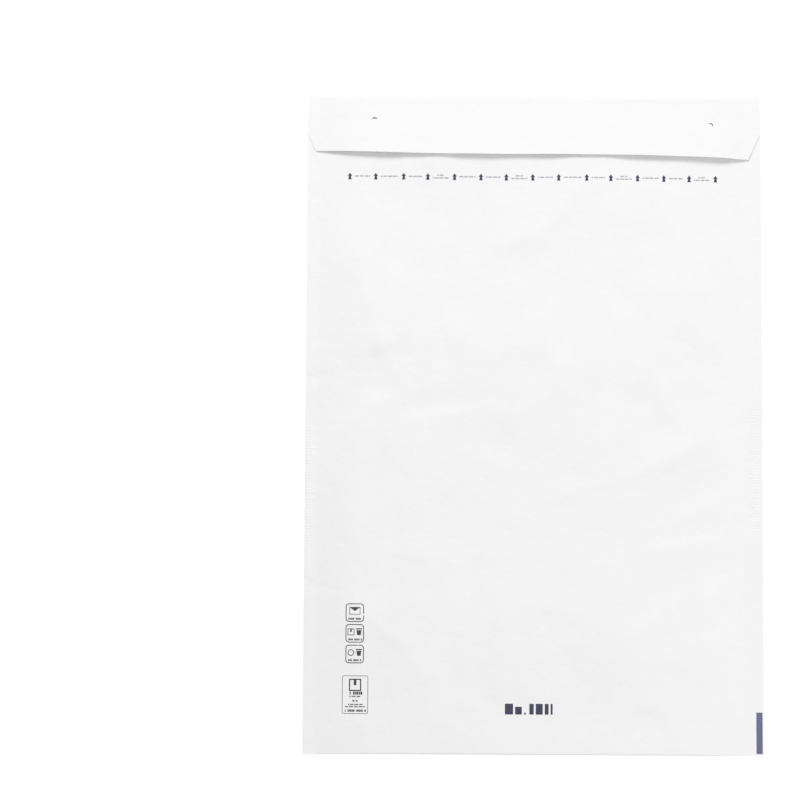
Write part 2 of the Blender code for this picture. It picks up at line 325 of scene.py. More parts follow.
def half_thickness(x, y):
    """Half the envelope's thickness: thin at the side seams and full over the padding."""
    corner = 1 - eased((y - FOLD_Y) / CORNER_LENGTH)
    shoulder = SHOULDER + (CORNER_SHOULDER - SHOULDER) * corner
    share = min(1.0, max(0.0, from_seam(x) / shoulder))
    swell = 1 - (1 - share) ** SHOULDER_SWELL
    return (SEAM_THICKNESS + (BODY_THICKNESS - SEAM_THICKNESS) * swell) / 2


def wave(x, y, size):
    """Smooth noise of a given height and length."""
    height, length, seed = size
    return height * noise.noise((x / length, y / length, seed))


def crease(x, y, size):
    """Noise that folds sharply where it passes through nothing, as stiff paper does."""
    height, length, seed = size
    return height * (1 - abs(noise.noise((x / length, y / length, seed)))) ** CREASE_SHARPNESS


def dent(x, y, place):
    """A long hollow, gentle on its upper side and steeper on its lower."""
    centre_x, centre_y, length, width, turn, depth = place
    along = Vector((x - centre_x, y - centre_y))
    along.rotate(Matrix.Rotation(-math.radians(turn), 2))
    width *= DENT_SLANT if along.y > 0 else 1 / DENT_SLANT
    reach = (along.x / length) ** 2 + (along.y / width) ** 2
    return -depth * math.exp(-DENT_FALL * reach)


def faded(x, y, fade):
    """1 over most of a panel, down to nothing at its edges."""
    sides, foot, mouth = fade
    along = eased((y - FOLD_Y - FOLD_REACH) / foot) * eased((MOUTH_Y - y) / mouth)
    return eased(from_seam(x) / sides) * along


def relief(x, y):
    """What the padding and handling do to the upper panel. Nothing at its edges."""
    shape = wave(x, y, BROAD_WAVE) + wave(x, y, SOFT_WAVE) + wave(x, y, FINE_WAVE)
    shape += crease(x, y, CREASES)
    shape += sum(dent(x, y, place) for place in DENTS)
    if shape < 0:
        shape = SINKS_TO * math.tanh(shape / SINKS_TO)
    return shape * faded(x, y, UPPER_FADE) + sum(dent(x, y, place) for place in PINCHES)


def hollow(x, y):
    """The lower panel's waves, which only rise from the surface that it lies on."""
    return abs(wave(x, y, UNDER_WAVE)) * faded(x, y, UNDER_FADE)


def sway(x, y):
    """How far a side seam's free edge is waved up or down."""
    beyond = max(0.0, -from_seam(x)) / SEAM_RIGHT
    ends = eased((y - FOLD_Y) / SWAY_FADE) * eased((MOUTH_Y - y) / SWAY_FADE)
    return wave(math.copysign(1, x), y, SEAM_SWAY) * beyond * ends


def upper_point(x, y):
    """A point on the outer face of the upper panel."""
    return Vector((x, y, MIDDLE_Z + half_thickness(x, y) + relief(x, y) + sway(x, y)))


def lower_point(x, y):
    """A point on the outer face of the lower panel."""
    return Vector((x, y, MIDDLE_Z - half_thickness(x, y) + hollow(x, y) + sway(x, y)))


def fold_point(x, angle):
    """A point on the bottom fold, from a quarter turn at the upper panel to minus that at the lower."""
    power = 2 / FOLD_SQUARENESS
    along = 1 - abs(math.cos(angle)) ** power
    up = math.copysign(abs(math.sin(angle)) ** power, angle)
    reach = FOLD_REACH * half_thickness(x, FOLD_Y) / MIDDLE_Z
    y = FOLD_Y + reach * along
    return Vector((x, y, MIDDLE_Z + half_thickness(x, y) * up + sway(x, y)))


def flap_run(x):
    """Mouth to free edge. The fold is a little askew, so the flap is longer on the right."""
    share = x / WIDTH + 0.5
    bow = FLAP_BOW * math.sin(2 * math.pi * x / FLAP_BOW_LENGTH)
    return FLAP_RUN_LEFT + (FLAP_RUN_RIGHT - FLAP_RUN_LEFT) * share - bow


def off_the_panel(x):
    """1 where the flap stands off the panel, down to 0 at its ends, where it has settled."""
    return 1 - eased((abs(x) - SETTLE_FROM) / SETTLE_OVER)


def flap_lift(x):
    """How far the free edge stands up from where it would lie flat."""
    towards_end = abs(2 * x / WIDTH) ** 4
    ripple = WAVE_HEIGHT * math.sin(2 * math.pi * x / WAVE_PITCH)
    return (LIFT_MIDDLE + (LIFT_CORNERS - LIFT_MIDDLE) * towards_end + ripple) * off_the_panel(x)


def flap_height(x, run, depth=0.0):
    """Height of the folded-over flap, at a depth below its outer face."""
    share = run / flap_run(x)
    under = half_thickness(x, MOUTH_Y)
    under += (MIDDLE_Z - under) * share * BRIDGE * off_the_panel(x)
    under += SETTLED_CLEAR + (FLAP_CLEAR - SETTLED_CLEAR) * off_the_panel(x)
    return MIDDLE_Z + under + FLAP_WALL + flap_lift(x) * share**LIFT_POWER - depth


def crest_point(x, angle):
    """A point on the flap's fold, which wraps the mouth in half an ellipse from below to above."""
    bottom = MIDDLE_Z - half_thickness(x, MOUTH_Y)
    half = (flap_height(x, 0) - bottom) / 2
    full_half = (BODY_THICKNESS + FLAP_CLEAR + FLAP_WALL) / 2
    reach = CREST_REACH - CREST_DRAW * (1 - half / full_half)
    return Vector((x, MOUTH_Y + reach * math.sin(angle), bottom + half * (1 - math.cos(angle))))


def flap_point(x, share):
    """A point on the flap. Its corners are cut off, where its columns draw together."""
    run = flap_run(x) * share
    left = x < 0
    length = CHAMFER_RUN_LEFT if left else CHAMFER_RUN_RIGHT
    inset = CHAMFER_INSET_LEFT if left else CHAMFER_INSET_RIGHT
    beyond = max(0.0, run - (flap_run(x) - length))
    across = x * (1 - inset * beyond / length / (WIDTH / 2))
    return Vector((across, MOUTH_Y - run, flap_height(across, run)))


def new_object(name, data):
    """A new object in the scene, at the origin."""
    obj = bpy.data.objects.new(name, data)
    bpy.context.scene.collection.objects.link(obj)
    return obj


def object_from(bm, name):
    """A new object that holds the mesh being edited."""
    mesh = bpy.data.meshes.new(name)
    bm.to_mesh(mesh)
    bm.free()
    return new_object(name, mesh)


def sheet(rows, name, thickness):
    """A sheet over rows of points, made thicker on the side that its faces look to."""
    bm = bmesh.new()
    lines = [[bm.verts.new(point) for point in row] for row in rows]
    for line, following in zip(lines, lines[1:]):
        for i in range(len(line) - 1):
            bm.faces.new((line[i], line[i + 1], following[i + 1], following[i]))
    obj = object_from(bm, name)
    wall = obj.modifiers.new("thickness", "SOLIDIFY")
    wall.thickness = thickness
    wall.offset = 1
    return obj


def settle(obj, sharp_from=40):
    """Makes an object with its modifiers a plain mesh, smooth but for edges sharper than an angle."""
    graph = bpy.context.evaluated_depsgraph_get()
    mesh = bpy.data.meshes.new_from_object(obj.evaluated_get(graph))
    obj.modifiers.clear()
    mesh.name = obj.name
    obj.data = mesh
    mesh.shade_smooth()
    mesh.set_sharp_from_angle(angle=math.radians(sharp_from))


def steps(start, end, pitch):
    """Evenly spaced places from start to end, about a pitch apart."""
    count = max(1, round(abs(end - start) / pitch))
    return [start + (end - start) * i / count for i in range(count + 1)]


def web_columns():
    """Places across the paper, close together over the shoulders."""
    left, right = SEAM_LINE_LEFT, SEAM_LINE_RIGHT
    return (
        steps(-WIDTH / 2, left, ROW_PITCH)[:-1]
        + steps(left, left + SHOULDER, ROW_PITCH / 2)[:-1]
        + steps(left + SHOULDER, right - SHOULDER, ROW_PITCH)[:-1]
        + steps(right - SHOULDER, right, ROW_PITCH / 2)[:-1]
        + steps(right, WIDTH / 2, ROW_PITCH)
    )


def web_rows():
    """The paper's outer face: upper panel, bottom fold, lower panel, crest and flap."""
    columns = web_columns()
    fold_start = FOLD_Y + FOLD_REACH
    rows = [[upper_point(x, y) for x in columns] for y in steps(MOUTH_Y, fold_start, ROW_PITCH)]
    for step in range(2 * NOSE_STEPS + 1):
        angle = math.pi / 2 * (1 - step / NOSE_STEPS)
        rows.append([fold_point(x, angle) for x in columns])
    rows += [[lower_point(x, y) for x in columns] for y in steps(fold_start, MOUTH_Y, UNDER_PITCH)]
    for step in range(1, CREST_STEPS + 1):
        angle = math.pi * step / CREST_STEPS
        rows.append([crest_point(x, angle) for x in columns])
    for step in range(1, FLAP_STEPS + 1):
        rows.append([flap_point(x, step / FLAP_STEPS) for x in columns])
    return rows


def paper_web():
    """The whole paper, folded, with the two half-moon cuts through its flap."""
    web = sheet(web_rows(), "paper_web", PAPER)
    cutters = [half_moon("left_half_moon", CUT_LEFT), half_moon("right_half_moon", CUT_RIGHT)]
    for cutter in cutters:
        cut = web.modifiers.new(cutter.name, "BOOLEAN")
        cut.operation = "DIFFERENCE"
        cut.object = cutter
    settle(web)
    for cutter in cutters:
        bpy.data.objects.remove(cutter, do_unlink=True)
    return web


def half_moon(name, place):
    """A prism between two arcs that share their ends, standing through the flap only."""
    x, run, turn, opening = place
    middle = Vector((x, MOUTH_Y - run))
    arcs = []
    for radius in (CUT_RADIUS, CUT_RADIUS - opening):
        arc = []
        for step in range(CUT_STEPS + 1):
            angle = math.pi * step / CUT_STEPS
            arm = Vector((CUT_RADIUS * math.cos(angle), radius * math.sin(angle)))
            arm.rotate(Matrix.Rotation(math.radians(turn), 2))
            arc.append(middle + arm)
        arcs.append(arc)
    outline = arcs[0] + arcs[1][-2:0:-1]
    low = flap_height(x, run, FLAP_WALL + FLAP_CLEAR / 2)
    high = flap_height(x, run) + CUT_RADIUS
    bm = bmesh.new()
    face = bm.faces.new([bm.verts.new((px, py, low)) for px, py in outline])
    grown = bmesh.ops.extrude_face_region(bm, geom=[face])["geom"]
    top = [v for v in grown if isinstance(v, bmesh.types.BMVert)]
    bmesh.ops.translate(bm, verts=top, vec=(0, 0, high - low))
    bmesh.ops.recalc_face_normals(bm, faces=bm.faces)
    return object_from(bm, name)


def feed(tree, socket, value):
    """Links an input from another socket, or sets it to a value."""
    if isinstance(value, bpy.types.NodeSocket):
        tree.links.new(value, socket)
    else:
        socket.default_value = value


def add_node(tree, kind, inputs=None, **settings):
    """A node with its settings and its inputs."""
    node = tree.nodes.new(kind)
    for name, value in settings.items():
        setattr(node, name, value)
    for name, value in (inputs or {}).items():
        feed(tree, node.inputs[name], value)
    return node


def maths(tree, operation, first, second, kind="ShaderNodeMath"):
    """What two numbers, or two vectors, make together."""
    node = add_node(tree, kind, operation=operation)
    feed(tree, node.inputs[0], first)
    feed(tree, node.inputs[1], second)
    return node.outputs[0]


def geometry_tree(name, inputs):
    """A Geometry Nodes tree with named inputs. Returns it with its input node."""
    tree = bpy.data.node_groups.new(name, "GeometryNodeTree")
    tree.interface.new_socket("Geometry", in_out="INPUT", socket_type="NodeSocketGeometry")
    for label, kind in inputs.items():
        tree.interface.new_socket(label, in_out="INPUT", socket_type=kind)
    tree.interface.new_socket("Geometry", in_out="OUTPUT", socket_type="NodeSocketGeometry")
    return tree, tree.nodes.new("NodeGroupInput")


def close_tree(tree, geometry, finish):
    """Ends a tree: its copies become a real mesh with a material."""
    real = add_node(tree, "GeometryNodeRealizeInstances", {"Geometry": geometry})
    dressed = add_node(
        tree, "GeometryNodeSetMaterial", {"Geometry": real.outputs["Geometry"], "Material": finish}
    )
    add_node(tree, "NodeGroupOutput", {"Geometry": dressed.outputs["Geometry"]})


def use_tree(obj, tree, values):
    """Puts a tree on an object, with its inputs set by their identifiers."""
    modifier = obj.modifiers.new(tree.name, "NODES")
    modifier.node_group = tree
    for item in tree.interface.items_tree:
        if item.in_out == "INPUT" and item.name in values:
            modifier[item.identifier] = values[item.name]


def on_point(tree, label):
    """A vector that each point of the guide carries."""
    node = add_node(tree, "GeometryNodeInputNamedAttribute", {"Name": label}, data_type="FLOAT_VECTOR")
    return node.outputs["Attribute"]


def copies_tree():
    """Puts a copy on each point of the guide, turned and stretched as the point says."""
    tree, given = geometry_tree(
        "copies_on_points",
        {"Copy": "NodeSocketObject", "Size": "NodeSocketVector", "Finish": "NodeSocketMaterial"},
    )
    copy = add_node(tree, "GeometryNodeObjectInfo", {"Object": given.outputs["Copy"]})
    rotation = add_node(tree, "FunctionNodeEulerToRotation", {"Euler": on_point(tree, "turn")})
    size = maths(
        tree, "MULTIPLY", given.outputs["Size"], on_point(tree, "stretch"), "ShaderNodeVectorMath"
    )
    placed = add_node(
        tree,
        "GeometryNodeInstanceOnPoints",
        {
            "Points": given.outputs["Geometry"],
            "Instance": copy.outputs["Geometry"],
            "Rotation": rotation.outputs["Rotation"],
            "Scale": size,
        },
    )
    close_tree(tree, placed.outputs["Instances"], given.outputs["Finish"])
    return tree


def bubble_rows(tree, given):
    """Points in staggered rows about the middle, at the height of the upper layer."""
    pitch, across, along = (given.outputs[label] for label in ("Pitch", "Across", "Along"))
    row_pitch = maths(tree, "MULTIPLY", pitch, math.sqrt(3) / 2)
    grid = add_node(
        tree,
        "GeometryNodeMeshGrid",
        {
            "Size X": maths(tree, "MULTIPLY", pitch, maths(tree, "SUBTRACT", across, 1)),
            "Size Y": maths(tree, "MULTIPLY", row_pitch, maths(tree, "SUBTRACT", along, 1)),
            "Vertices X": across,
            "Vertices Y": along,
        },
    )
    index = add_node(tree, "GeometryNodeInputIndex").outputs["Index"]
    odd_row = maths(tree, "MODULO", maths(tree, "MODULO", index, along), 2)
    stagger = maths(tree, "MULTIPLY", maths(tree, "SUBTRACT", odd_row, 0.5), pitch)
    shift = add_node(
        tree,
        "ShaderNodeCombineXYZ",
        {"X": maths(tree, "MULTIPLY", stagger, 0.5), "Z": given.outputs["Layer height"]},
    )
    staggered = add_node(
        tree,
        "GeometryNodeSetPosition",
        {"Geometry": grid.outputs["Mesh"], "Offset": shift.outputs["Vector"]},
    )
    return staggered.outputs["Geometry"]


def joined(tree, first, second):
    """Two geometries as one."""
    both = add_node(tree, "GeometryNodeJoinGeometry", {"Geometry": first})
    tree.links.new(second, both.inputs["Geometry"])
    return both.outputs["Geometry"]


def bubble_tree():
    """Joins two layers of bubbles in staggered rows to the film, one layer on each side of it."""
    tree, given = geometry_tree(
        "bubble_layers",
        {
            "Bubble": "NodeSocketObject",
            "Pitch": "NodeSocketFloat",
            "Across": "NodeSocketInt",
            "Along": "NodeSocketInt",
            "Bubble size": "NodeSocketVector",
            "Layer height": "NodeSocketFloat",
            "Middle": "NodeSocketVector",
            "Finish": "NodeSocketMaterial",
        },
    )
    bubble = add_node(tree, "GeometryNodeObjectInfo", {"Object": given.outputs["Bubble"]})
    upper = add_node(
        tree,
        "GeometryNodeInstanceOnPoints",
        {
            "Points": bubble_rows(tree, given),
            "Instance": bubble.outputs["Geometry"],
            "Scale": given.outputs["Bubble size"],
        },
    )
    lower = add_node(
        tree,
        "GeometryNodeTransform",
        {"Geometry": upper.outputs["Instances"], "Rotation": (0.0, math.pi, 0.0)},
    )
    layers = joined(tree, upper.outputs["Instances"], lower.outputs["Geometry"])
    placed = add_node(
        tree, "GeometryNodeTransform", {"Geometry": layers, "Translation": given.outputs["Middle"]}
    )
    whole = joined(tree, placed.outputs["Geometry"], given.outputs["Geometry"])
    close_tree(tree, whole, given.outputs["Finish"])
    return tree


def guide(name, points):
    """A mesh of loose points for copies. Each is a place, a turn and a stretch."""
    mesh = bpy.data.meshes.new(name)
    mesh.from_pydata([place for place, _, _ in points], [], [])
    for label, column in (("turn", 1), ("stretch", 2)):
        attribute = mesh.attributes.new(label, "FLOAT_VECTOR", "POINT")
        for item, point in zip(attribute.data, points):
            item.vector = point[column]
    return new_object(name, mesh)


def new_material(name):
    """A material on the object's own coordinates. Returns it, its tree, its shader and the place."""
    material = bpy.data.materials.new(name)
    material.use_nodes = True
    tree = material.node_tree
    place = add_node(tree, "ShaderNodeTexCoord").outputs["Object"]
    return material, tree, tree.nodes["Principled BSDF"], place


def noise_on(tree, place, texture):
    """Noise of a given texture."""
    scale, detail, roughness = texture
    return add_node(
        tree,
        "ShaderNodeTexNoise",
        {"Vector": place, "Scale": scale, "Detail": detail, "Roughness": roughness},
    ).outputs["Fac"]


def spread(tree, value, low, high, from_low=0.3, from_high=0.7):
    """Maps a range, or a texture's middle range, to another range."""
    return add_node(
        tree,
        "ShaderNodeMapRange",
        {"Value": value, "From Min": from_low, "From Max": from_high, "To Min": low, "To Max": high},
    ).outputs["Result"]


def blend_colours(tree, share, first, second):
    """Goes from the first colour to the second."""
    mix = add_node(tree, "ShaderNodeMix", {"Factor": share}, data_type="RGBA")
    for socket, colour in zip((mix.inputs[6], mix.inputs[7]), (first, second)):
        feed(tree, socket, (*colour, 1) if isinstance(colour, tuple) else colour)
    return mix.outputs[2]


def bumped(tree, height, bump, under=None):
    """A normal from a height, over another normal if there is one."""
    depth, strength = bump
    inputs = {"Height": height, "Distance": depth, "Strength": strength}
    if under is not None:
        inputs["Normal"] = under
    return add_node(tree, "ShaderNodeBump", inputs).outputs["Normal"]


def coated_paper():
    """White kraft: cloudy, finely fibred, with the bubbles behind it just showing."""
    material, tree, shader, place = new_material("white_kraft_paper")
    cloud = spread(tree, noise_on(tree, place, CLOUDS), 0, 1)
    fibre = noise_on(tree, place, FIBRES)
    shade = blend_colours(tree, cloud, PAPER_DULL, PAPER_BRIGHT)
    flecked = blend_colours(tree, spread(tree, fibre, *PAPER_FLECKS), shade, PAPER_FLECK)
    tree.links.new(flecked, shader.inputs["Base Color"])
    tree.links.new(spread(tree, fibre, *PAPER_ROUGHNESS), shader.inputs["Roughness"])
    shader.inputs["Specular IOR Level"].default_value = PAPER_SHEEN
    bubbles = add_node(
        tree, "ShaderNodeTexVoronoi", {"Vector": place, **BUBBLES_BEHIND}, feature="SMOOTH_F1"
    ).outputs["Distance"]
    telegraphed = bumped(tree, bubbles, BUBBLE_BUMP)
    cockled = bumped(tree, noise_on(tree, place, COCKLES), COCKLE_BUMP, telegraphed)
    fibred = bumped(tree, fibre, FIBRE_BUMP, cockled)
    grained = bumped(tree, noise_on(tree, place, GRAIN), GRAIN_BUMP, fibred)
    tree.links.new(grained, shader.inputs["Normal"])
    return material


def ink(name):
    """Printing ink, thinner over the tops of the fibres."""
    colour, coverage = INKS[name]
    material, tree, shader, place = new_material(name)
    fibre = noise_on(tree, place, FIBRES)
    thick = spread(tree, fibre, coverage, 1.0, *INK_WEAR)
    tree.links.new(blend_colours(tree, thick, INK_THIN, colour), shader.inputs["Base Color"])
    tree.links.new(spread(tree, fibre, *INK_ROUGHNESS), shader.inputs["Roughness"])
    tree.links.new(bumped(tree, fibre, INK_BUMP), shader.inputs["Normal"])
    return material


def mottled(name, mottle, shades, roughness, bump, grain=None, alpha=1.0):
    """A finish that varies softly between two shades, with bumps of the same grain or a finer one."""
    material, tree, shader, place = new_material(name)
    cloud = noise_on(tree, place, mottle)
    shade = blend_colours(tree, spread(tree, cloud, 0, 1), *shades)
    tree.links.new(shade, shader.inputs["Base Color"])
    tree.links.new(spread(tree, cloud, *roughness), shader.inputs["Roughness"])
    height = noise_on(tree, place, grain) if grain else cloud
    tree.links.new(bumped(tree, height, bump), shader.inputs["Normal"])
    shader.inputs["Alpha"].default_value = alpha
    return material


def bubble_film():
    """Clear soft film, slightly milky, with a fine pull to it."""
    return mottled(
        "clear_bubble_film",
        mottle=(60, 3, 0.55),
        shades=((0.74, 0.77, 0.79), (0.84, 0.86, 0.87)),
        roughness=(0.16, 0.30),
        bump=(0.0001, 0.3),
        grain=(420, 2, 0.55),
        alpha=0.6,
    )


def adhesive_finish():
    """A band of pale amber hot-melt adhesive."""
    return mottled(
        "amber_adhesive",
        mottle=(240, 4, 0.55),
        shades=((0.72, 0.62, 0.40), (0.82, 0.75, 0.56)),
        roughness=(0.22, 0.42),
        bump=(0.0002, 0.4),
    )


def release_finish():
    """Ivory release paper, smooth and a little shiny."""
    return mottled(
        "ivory_release_paper",
        mottle=(1300, 5, 0.6),
        shades=((0.79, 0.76, 0.66), (0.86, 0.83, 0.74)),
        roughness=(0.28, 0.38),
        bump=(0.00003, 0.3),
    )


def dress(obj, finish, slot, *nodes):
    """Gives a finished piece its material and its place on the part."""
    obj.data.materials.clear()
    obj.data.materials.append(finish)
    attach(obj, "root")
    if nodes:
        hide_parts(*nodes)


def copied(name, points, form, size, tree, finish, sharp_from=40):
    """A piece made of copies of one form, which is used up."""
    obj = guide(name, points)
    use_tree(obj, tree, {"Copy": form, "Size": size, "Finish": finish})
    settle(obj, sharp_from)
    bpy.data.objects.remove(form, do_unlink=True)
    return obj


def rib_form():
    """One pressed rib of unit size, flat below and rounded above, with sloping ends."""
    bm = bmesh.new()
    profile = ((-0.5, 0.0), (-0.28, 0.72), (0.0, 1.0), (0.28, 0.72), (0.5, 0.0))
    lines = []
    for x, share in ((-0.5, 0.0), (-0.42, 1.0), (0.42, 1.0), (0.5, 0.0)):
        lines.append([bm.verts.new((x, y, z * share)) for y, z in profile])
    for line, following in zip(lines, lines[1:]):
        for i in range(len(line) - 1):
            bm.faces.new((line[i], following[i], following[i + 1], line[i + 1]))
    return object_from(bm, "rib_form")


def seam_slope(x, y):
    """How much a side seam tilts across its width, where it is waved."""
    outwards = math.copysign(RIB_TILT_REACH, x)
    return math.atan((sway(x + outwards, y) - sway(x - outwards, y)) / (2 * outwards))


def seam_ribs(tree, finish):
    """Ribs on both faces of both side seams, some short and some hardly pressed."""
    points = []
    uneven = random.Random(RIB_SEED)
    for y in steps(FOLD_Y + RIB_ENDS, MOUTH_Y - RIB_ENDS, RIB_PITCH):
        bold = math.exp(-(((y - RIB_BOLD_Y) / RIB_BOLD_LENGTH) ** 2))
        for side in (-1, 1):
            length = uneven.uniform(RIB_SHORTEST, 1)
            height = (RIB_FAINT + (1 - RIB_FAINT) * bold) * uneven.uniform(RIB_LOWEST, 1)
            stretch = (length, 1, height)
            x = side * (WIDTH / 2 - RIB_MARGINS[side] - RIB_LENGTH * length / 2)
            slope = seam_slope(x, y)
            points.append((upper_point(x, y), (0, -slope, 0), stretch))
            points.append((lower_point(x, y), (0, math.pi - slope, 0), stretch))
    size = (RIB_LENGTH, RIB_WIDTH, RIB_HEIGHT)
    ribs = copied("seam_ribs", points, rib_form(), size, tree, finish, sharp_from=60)
    dress(ribs, finish, "white_paper")


def bubble_form():
    """One air bubble of unit size, with steep sides and a round top."""
    bm = bmesh.new()
    rings = []
    angles = [2 * math.pi * i / BUBBLE_SIDES for i in range(BUBBLE_SIDES)]
    for radius, height in ((0.5, 0.0), (0.47, 0.5), (0.33, 0.87)):
        ring = [(radius * math.cos(a), radius * math.sin(a), height) for a in angles]
        rings.append([bm.verts.new(point) for point in ring])
    top = bm.verts.new((0, 0, 1))
    for i in range(BUBBLE_SIDES):
        j = (i + 1) % BUBBLE_SIDES
        for ring, above in zip(rings, rings[1:]):
            bm.faces.new((ring[i], ring[j], above[j], above[i]))
        bm.faces.new((rings[-1][i], rings[-1][j], top))
    bm.faces.new(rings[0][::-1])
    return object_from(bm, "bubble_form")


def film_rows():
    """The flat film behind the bubbles: down inside the upper panel, round the fold and back up."""
    inset = LINING_INSET + FILM_INSET
    columns = steps(SEAM_LINE_LEFT + inset, SEAM_LINE_RIGHT - inset, UNDER_PITCH)
    outer = SLIT / 2 + FILM
    mouth = MOUTH_Y - LINING_SHORT
    turn = FOLD_Y + FOLD_REACH + FILM_TURN
    line = [(y, MIDDLE_Z + outer) for y in steps(mouth, turn, UNDER_PITCH)]
    for step in range(1, FILM_TURN_STEPS):
        angle = math.pi * step / FILM_TURN_STEPS
        line.append((turn - outer * math.sin(angle), MIDDLE_Z + outer * math.cos(angle)))
    line += [(y, MIDDLE_Z - outer) for y in steps(turn, mouth, UNDER_PITCH)]
    return [[Vector((x, y, z)) for x in columns] for y, z in line]


def bubble_lining(finish):
    """The folded film with its bubbles, which stand out towards the paper."""
    lining = sheet(film_rows(), "bubble_film_lining", FILM)
    flat = SEAM_LINE_RIGHT - SEAM_LINE_LEFT - 2 * SHOULDER + BUBBLE_SPREAD
    middle_x = (SEAM_LINE_LEFT + SEAM_LINE_RIGHT) / 2
    middle_y = (FOLD_Y + CORNER_LENGTH / 2 + MOUTH_Y - LINING_SHORT) / 2
    form = bubble_form()
    use_tree(
        lining,
        bubble_tree(),
        {
            "Bubble": form,
            "Pitch": BUBBLE_PITCH,
            "Across": int(flat / BUBBLE_PITCH),
            "Along": int((POCKET_LENGTH - CORNER_LENGTH / 2) / (BUBBLE_PITCH * math.sqrt(3) / 2)),
            "Bubble size": (BUBBLE_WIDTH, BUBBLE_WIDTH, BUBBLE_HEIGHT),
            "Layer height": SLIT / 2 + FILM * BUBBLE_ROOT,
            "Middle": (middle_x, middle_y, MIDDLE_Z),
            "Finish": finish,
        },
    )
    settle(lining, sharp_from=60)
    bpy.data.objects.remove(form, do_unlink=True)
    dress(lining, finish, "bubble_film", "bubble_lining")


def closure_strip(name, ends, margin, width, depth, thickness):
    """A thin strip that follows the flap's inner face, parallel to its free edge."""
    columns = steps(-WIDTH / 2 + ends, WIDTH / 2 - ends, ROW_PITCH)
    rows = []
    for distance in steps(margin, margin + width, width / STRIP_STEPS):
        row = []
        for x in columns:
            run = flap_run(x) - distance
            row.append(Vector((x, MOUTH_Y - run, flap_height(x, run, depth))))
        rows.append(row[::-1])
    strip = sheet(rows, name, thickness)
    settle(strip)
    return strip


def closure():
    """The adhesive on the flap's inner face, and the release paper that covers it."""
    depth = PAPER + STRIP_GAP
    margin = RELEASE_MARGIN + (RELEASE_WIDTH - ADHESIVE_WIDTH) / 2
    band = closure_strip("adhesive_strip", ADHESIVE_ENDS, margin, ADHESIVE_WIDTH, depth, ADHESIVE)
    dress(band, adhesive_finish(), "adhesive", "adhesive_band")
    depth += ADHESIVE + STRIP_GAP
    strip = closure_strip(
        "release_paper_strip", RELEASE_ENDS, RELEASE_MARGIN, RELEASE_WIDTH, depth, RELEASE
    )
    dress(strip, release_finish(), "release_paper", "release_strip")


def arrow_form():
    """A printed arrow of unit size that points up the panel, its stem wider at the foot."""
    bm = bmesh.new()
    bm.faces.new([bm.verts.new((x, y, 0)) for x, y in reversed(ARROW_OUTLINE)])
    bmesh.ops.recalc_face_normals(bm, faces=bm.faces)
    return object_from(bm, "arrow_form")


def block_form():
    """A printed block of unit size, where a letter would be."""
    bm = bmesh.new()
    bmesh.ops.create_grid(bm, x_segments=1, y_segments=1, size=0.5)
    return object_from(bm, "block_form")


def rectangle(x, y, width, height):
    """Corners of an upright block about its middle."""
    w, h = width / 2, height / 2
    return [(x - w, y - h), (x + w, y - h), (x + w, y + h), (x - w, y + h)]


def rounded(x, y, width, height, radius):
    """A rounded rectangle about a middle point."""
    path = []
    turns = 5
    for corner, (side, end) in enumerate(((1, 1), (-1, 1), (-1, -1), (1, -1))):
        cx, cy = x + side * (width / 2 - radius), y + end * (height / 2 - radius)
        for step in range(turns + 1):
            angle = math.pi / 2 * (corner + step / turns)
            path.append((cx + radius * math.cos(angle), cy + radius * math.sin(angle)))
    return path


def circle(x, y, radius):
    """Points round a circle."""
    count = 20
    angles = (2 * math.pi * i / count for i in range(count))
    return [(x + radius * math.cos(a), y + radius * math.sin(a)) for a in angles]


def stroke(path, width):
    """Outlines of the pieces of a closed line of that width, mitred at its corners."""
    points = [Vector(p) for p in path]
    sides = []
    for i, point in enumerate(points):
        into = (point - points[i - 1]).normalized()
        out = (points[(i + 1) % len(points)] - point).normalized()
        normal = Vector((-into.y - out.y, into.x + out.x)).normalized()
        mitre = width / 2 / max(MITRE_LIMIT, normal.dot(Vector((-out.y, out.x))))
        sides.append((point + normal * mitre, point - normal * mitre))
    return [[a[0], a[1], b[1], b[0]] for a, b in zip(sides, sides[1:] + sides[:1])]


def letter_blocks(left, y, length, height, start):
    """Small blocks in a line, spaced as the letters of a few words would be."""
    blocks = []
    x = left
    number = start
    while x < left + length:
        width = height * LETTER_WIDTH * RHYTHM[number % len(RHYTHM)]
        if number % WORD_LETTERS != WORD_LETTERS - 1:
            blocks.append((x + width / 2, y, width, height))
        x += width * LETTER_PITCH
        number += 1
    return blocks


def cut_up(bm):
    """Divides flat print into small squares."""
    bmesh.ops.triangulate(bm, faces=bm.faces)
    xs = [v.co.x for v in bm.verts]
    ys = [v.co.y for v in bm.verts]
    for values, normal in ((xs, Vector((1, 0, 0))), (ys, Vector((0, 1, 0)))):
        for place in steps(min(values), max(values), INK_GRID)[1:-1]:
            geometry = bm.verts[:] + bm.edges[:] + bm.faces[:]
            bmesh.ops.bisect_plane(bm, geom=geometry, plane_co=normal * place, plane_no=normal)


def drape(obj, panel):
    """Lays flat print on the upper panel."""
    bm = bmesh.new()
    bm.from_mesh(obj.data)
    cut_up(bm)
    for vert in bm.verts:
        above = Vector((vert.co.x, vert.co.y, ABOVE_ALL))
        hit = panel.ray_cast(above, Vector((0, 0, -1)))[0]
        vert.co.z = hit.z + INK_LIFT
    for face in bm.faces:
        face.normal_update()
        if face.normal.z < 0:
            face.normal_flip()
    bm.to_mesh(obj.data)
    bm.free()
    obj.data.shade_smooth()


def flat_print(name, outlines, finish, panel):
    """Print made of flat shapes."""
    bm = bmesh.new()
    for outline in outlines:
        bm.faces.new([bm.verts.new((*point, 0)) for point in outline])
    obj = object_from(bm, name)
    drape(obj, panel)
    dress(obj, finish, "white_paper")


